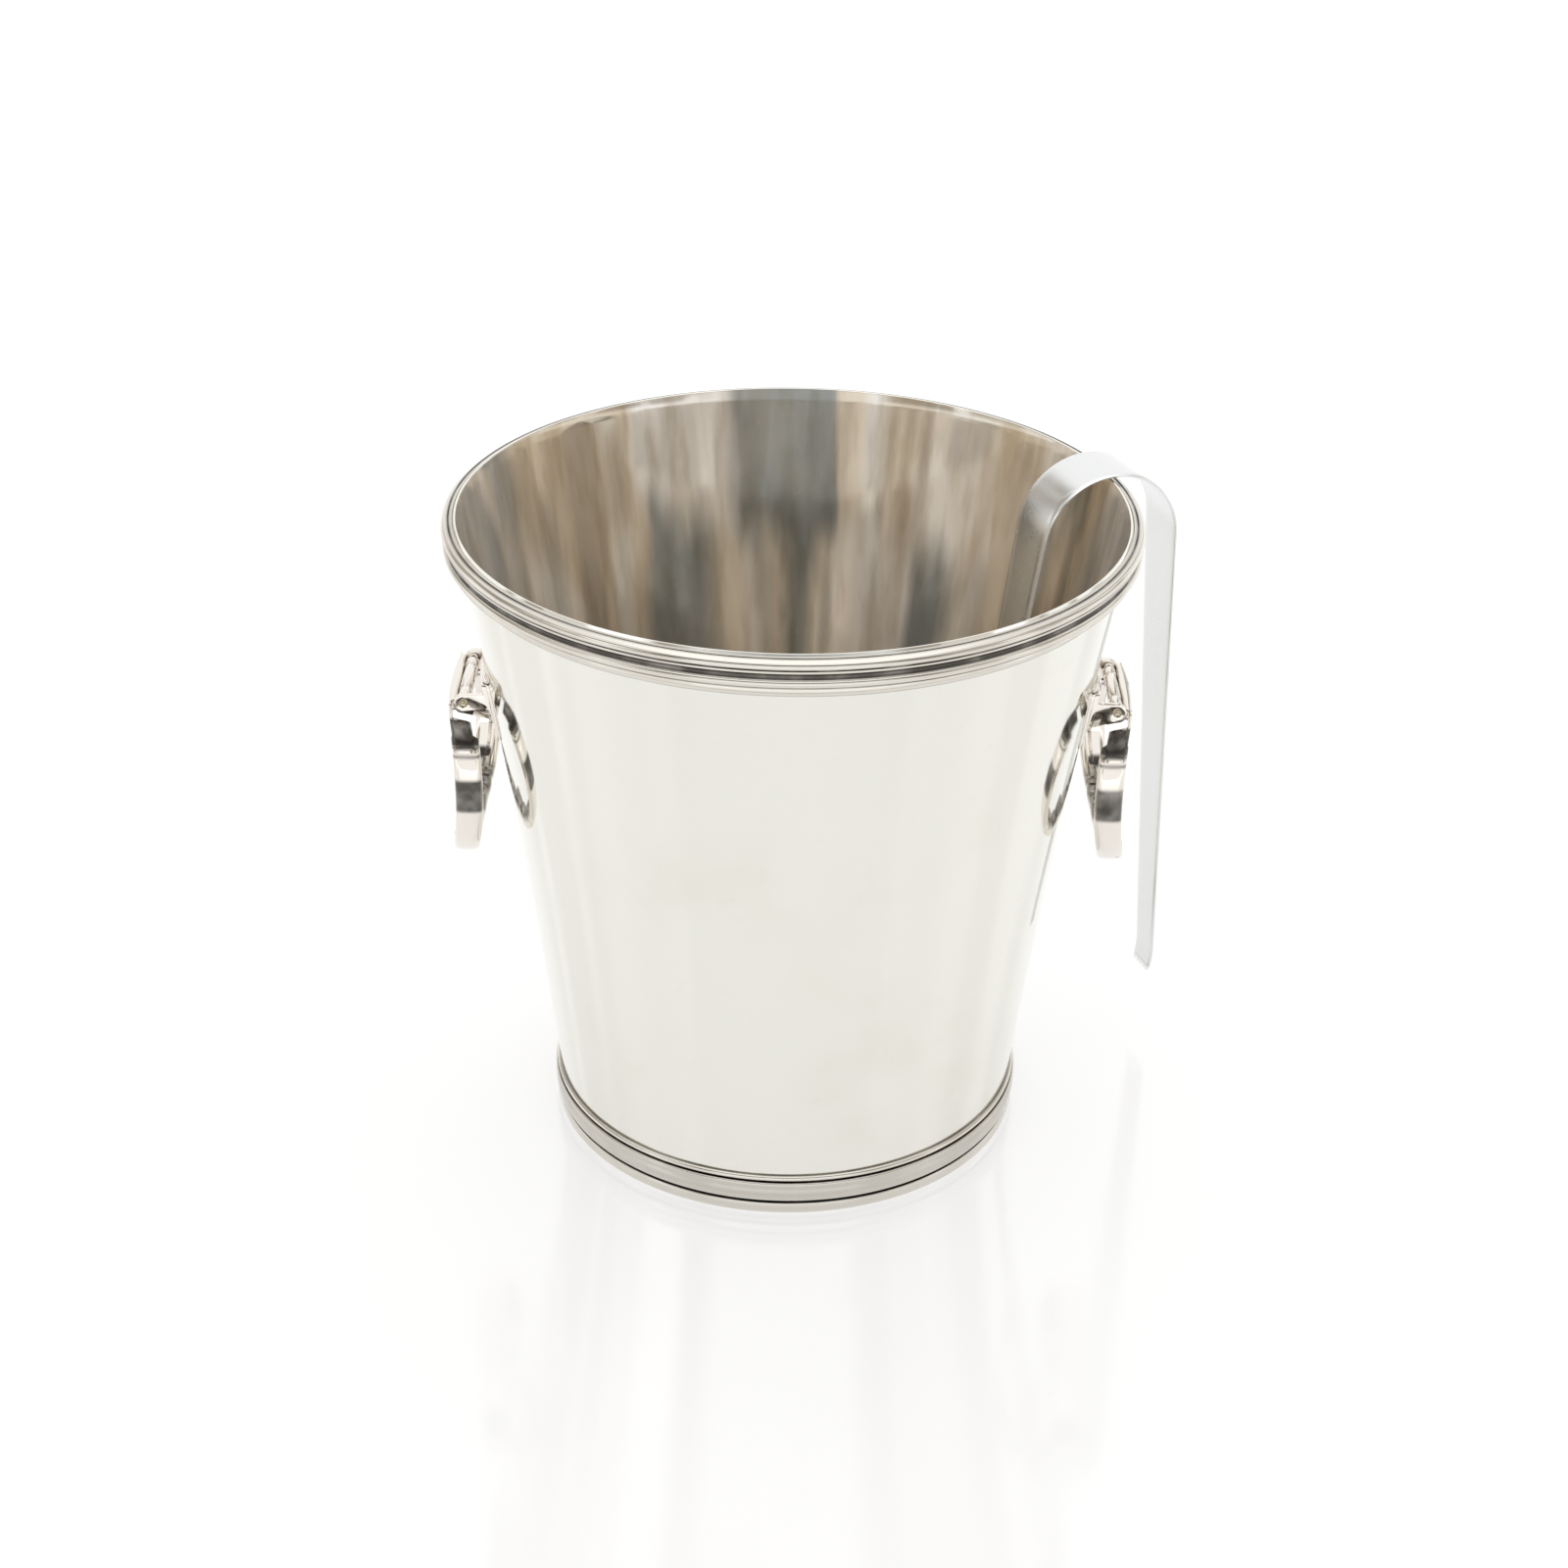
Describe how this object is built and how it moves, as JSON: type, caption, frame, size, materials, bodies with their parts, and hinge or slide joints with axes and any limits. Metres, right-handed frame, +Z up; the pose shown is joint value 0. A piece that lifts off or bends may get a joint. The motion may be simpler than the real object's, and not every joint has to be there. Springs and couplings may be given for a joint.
{
  "type": "champagne bucket",
  "caption": "Flared silver wine cooler with moulded rim and foot, hinged drop-ring side handles, and ice tongs hooked over the rim.",
  "frame": {"origin": "centre of the foot ring's flat underside, on the vessel's axis", "axes": "+Z up along the vessel's axis; the drop-ring handles are on +X and -X, and their hinge pins run along Y; the tongs hook over the rim beside the +X handle, on its +Y side"},
  "size_m": [0.2294, 0.2094, 0.2056],
  "materials": {
    "silver_outside": "polished silver plate, fine wear",
    "silver_inside": "polished silver plate, satin wear",
    "silver_mouldings": "polished, tarnish in the quirks",
    "cast_silver": "polished cast silver plate",
    "rivet_metal": "dull, worn",
    "tongs_silver": "satin polished"
  },
  "bodies": {
    "bucket": {"body_shell": "silver_outside", "bottom_disc": "silver_inside", "rim_top_wire": "silver_mouldings", "rim_cavetto_wire": "silver_mouldings", "rim_lower_fillet": "silver_mouldings", "foot_ring": "silver_mouldings", "base_broad_band": "silver_mouldings", "base_bead": "silver_mouldings", "left_backplate": "silver_outside", "left_bracket": "silver_mouldings", "left_hinge_pin": "rivet_metal", "right_backplate": "silver_outside", "right_bracket": "silver_mouldings", "right_hinge_pin": "rivet_metal"},
    "left_handle": {"left_handle_ring": "cast_silver", "left_handle_tube": "cast_silver", "left_handle_collars": "cast_silver"},
    "right_handle": {"right_handle_ring": "cast_silver", "right_handle_tube": "cast_silver", "right_handle_collars": "cast_silver"},
    "tongs": {"tongs_bow": "tongs_silver", "tongs_inner_arm": "tongs_silver", "tongs_outer_arm": "tongs_silver", "tongs_inner_claw": "tongs_silver", "tongs_outer_claw": "tongs_silver"}
  },
  "joints": [
    {"name": "left_handle_swing", "type": "hinge", "parent": "bucket", "child": "left_handle", "pos_m": [-0.099, 0, 0.1448], "axis": [0, 1, 0], "range_deg": [-12, 90]},
    {"name": "right_handle_swing", "type": "hinge", "parent": "bucket", "child": "right_handle", "pos_m": [0.099, 0, 0.1448], "axis": [0, -1, 0], "range_deg": [-12, 90]},
    {"name": "tongs_lift", "type": "slide", "parent": "bucket", "child": "tongs", "axis": [0, 0, 1], "range_m": [0, 0.19]}
  ]
}
